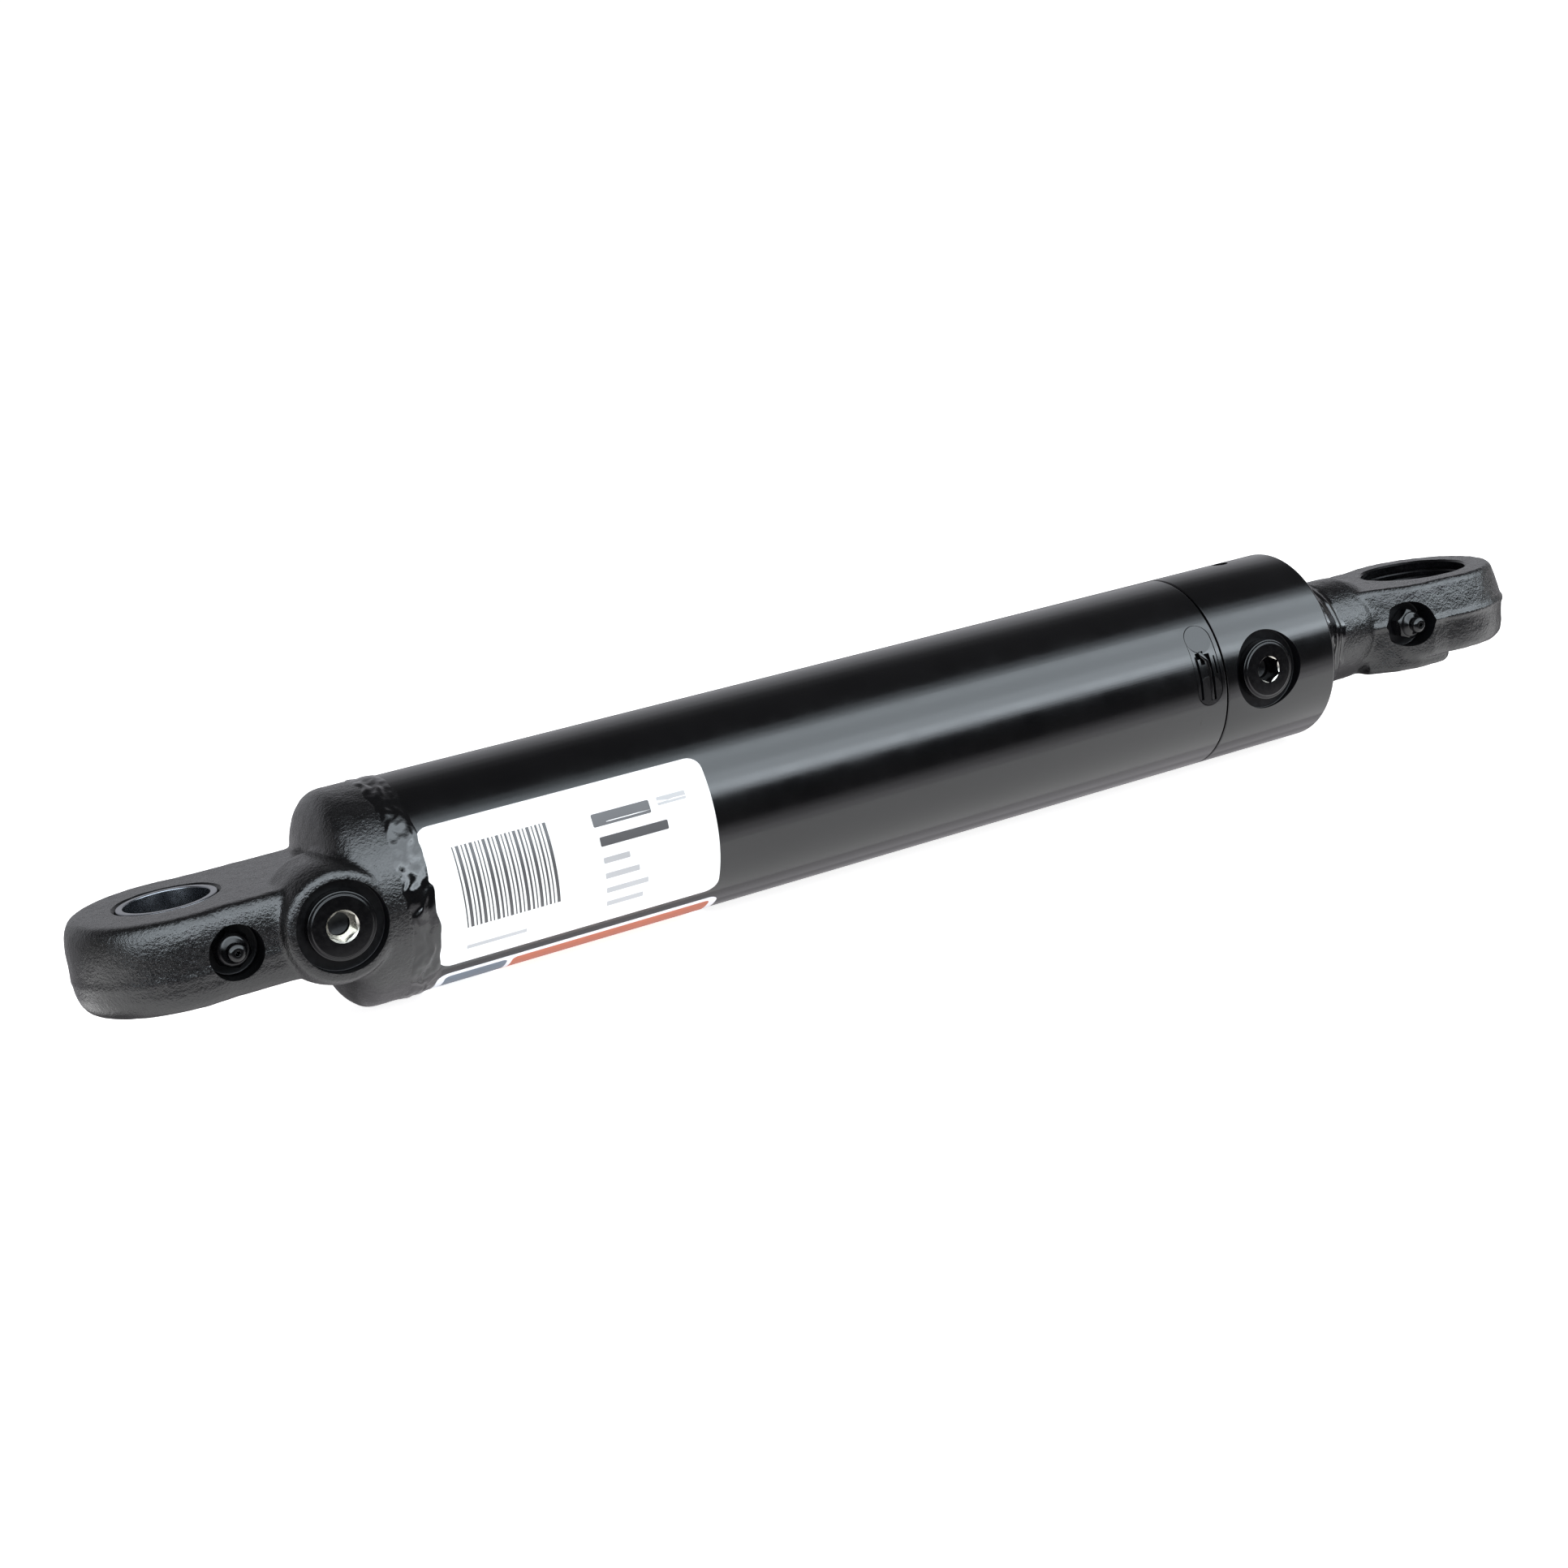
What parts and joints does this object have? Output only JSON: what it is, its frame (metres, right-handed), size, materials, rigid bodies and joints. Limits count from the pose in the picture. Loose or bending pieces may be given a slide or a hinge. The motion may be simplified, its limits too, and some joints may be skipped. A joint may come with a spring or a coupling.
{
  "type": "hydraulic cylinder",
  "caption": "Welded double-acting hydraulic cylinder, fully retracted, with a forged tang eye at each end, plugged ports, grease fittings and a wire-ring retained gland.",
  "frame": {"origin": "centre of the base pin bore", "axes": "+X along the barrel towards the rod end, +Z along both pin bores, ports and grease fittings on the -Y side"},
  "size_m": [0.611, 0.0788, 0.0788],
  "materials": {
    "black_paint": "semi-gloss black enamel, lightly orange-peeled",
    "black_casting": "satin black enamel over rough forged skin",
    "painted_weld": "semi-gloss black enamel over weld ripples",
    "plug_black": "glossy black, bright bare socket",
    "wire_steel": "black enamel over drawn wire",
    "chrome_rod": "hard chrome, polished",
    "bare_steel": "turned",
    "zinc_steel": "turned, part painted over",
    "ball_steel": "polished",
    "spring_steel": "drawn wire",
    "bushing_steel": "honed bore",
    "seal_rubber": "matte",
    "seal_urethane": "smooth",
    "wear_ring_nylon": "smooth",
    "label_white": null,
    "decal_pale": "laminated label with a plain orange band"
  },
  "bodies": {
    "barrel": {"base_end_casting": "black_casting", "base_weld_bead": "painted_weld", "barrel_tube": "black_paint", "base_tang_bushing": "bushing_steel", "base_grease_fitting": "zinc_steel", "base_grease_spring": "spring_steel", "base_port_plug": "plug_black", "base_port_plug_o_ring": "seal_rubber", "gland_head": "black_paint", "gland_port_plug": "plug_black", "gland_port_plug_o_ring": "seal_rubber", "gland_o_ring": "seal_rubber", "gland_backup_ring": "wear_ring_nylon", "rod_wear_ring": "wear_ring_nylon", "rod_seal": "seal_urethane", "rod_wiper": "seal_urethane", "retaining_wire": "wire_steel", "spec_label": "label_white", "side_decal": "decal_pale"},
    "piston_seals": {"piston_seal": "seal_urethane", "piston_seal_energizer": "seal_rubber", "piston_wear_ring_front": "wear_ring_nylon", "piston_wear_ring_rear": "wear_ring_nylon"},
    "rod": {"piston_rod": "chrome_rod", "piston": "bare_steel", "piston_nut": "zinc_steel", "piston_o_ring": "seal_rubber", "rod_weld_bead": "painted_weld", "rod_end_tang": "black_casting", "rod_grease_fitting": "zinc_steel", "rod_grease_spring": "spring_steel"},
    "base_check_ball": {"base_grease_check_ball": "ball_steel"},
    "rod_check_ball": {"rod_grease_check_ball": "ball_steel"}
  },
  "joints": [
    {"name": "rod_slide", "type": "slide", "parent": "barrel", "child": "piston_seals", "axis": [1, 0, 0], "range_m": [0, 0.254]},
    {"name": "rod_turn", "type": "hinge", "parent": "piston_seals", "child": "rod", "pos_m": [0.3, 0, 0], "axis": [1, 0, 0], "continuous": true},
    {"name": "base_check_ball_press", "type": "slide", "parent": "barrel", "child": "base_check_ball", "axis": [0, 1, 0], "range_m": [0, 0.001], "stiffness_N_per_m": 300, "springref_m": -0.002, "deforming": ["base_grease_spring"]},
    {"name": "rod_check_ball_press", "type": "slide", "parent": "rod", "child": "rod_check_ball", "axis": [0, 1, 0], "range_m": [0, 0.001], "stiffness_N_per_m": 300, "springref_m": -0.002, "deforming": ["rod_grease_spring"]}
  ]
}
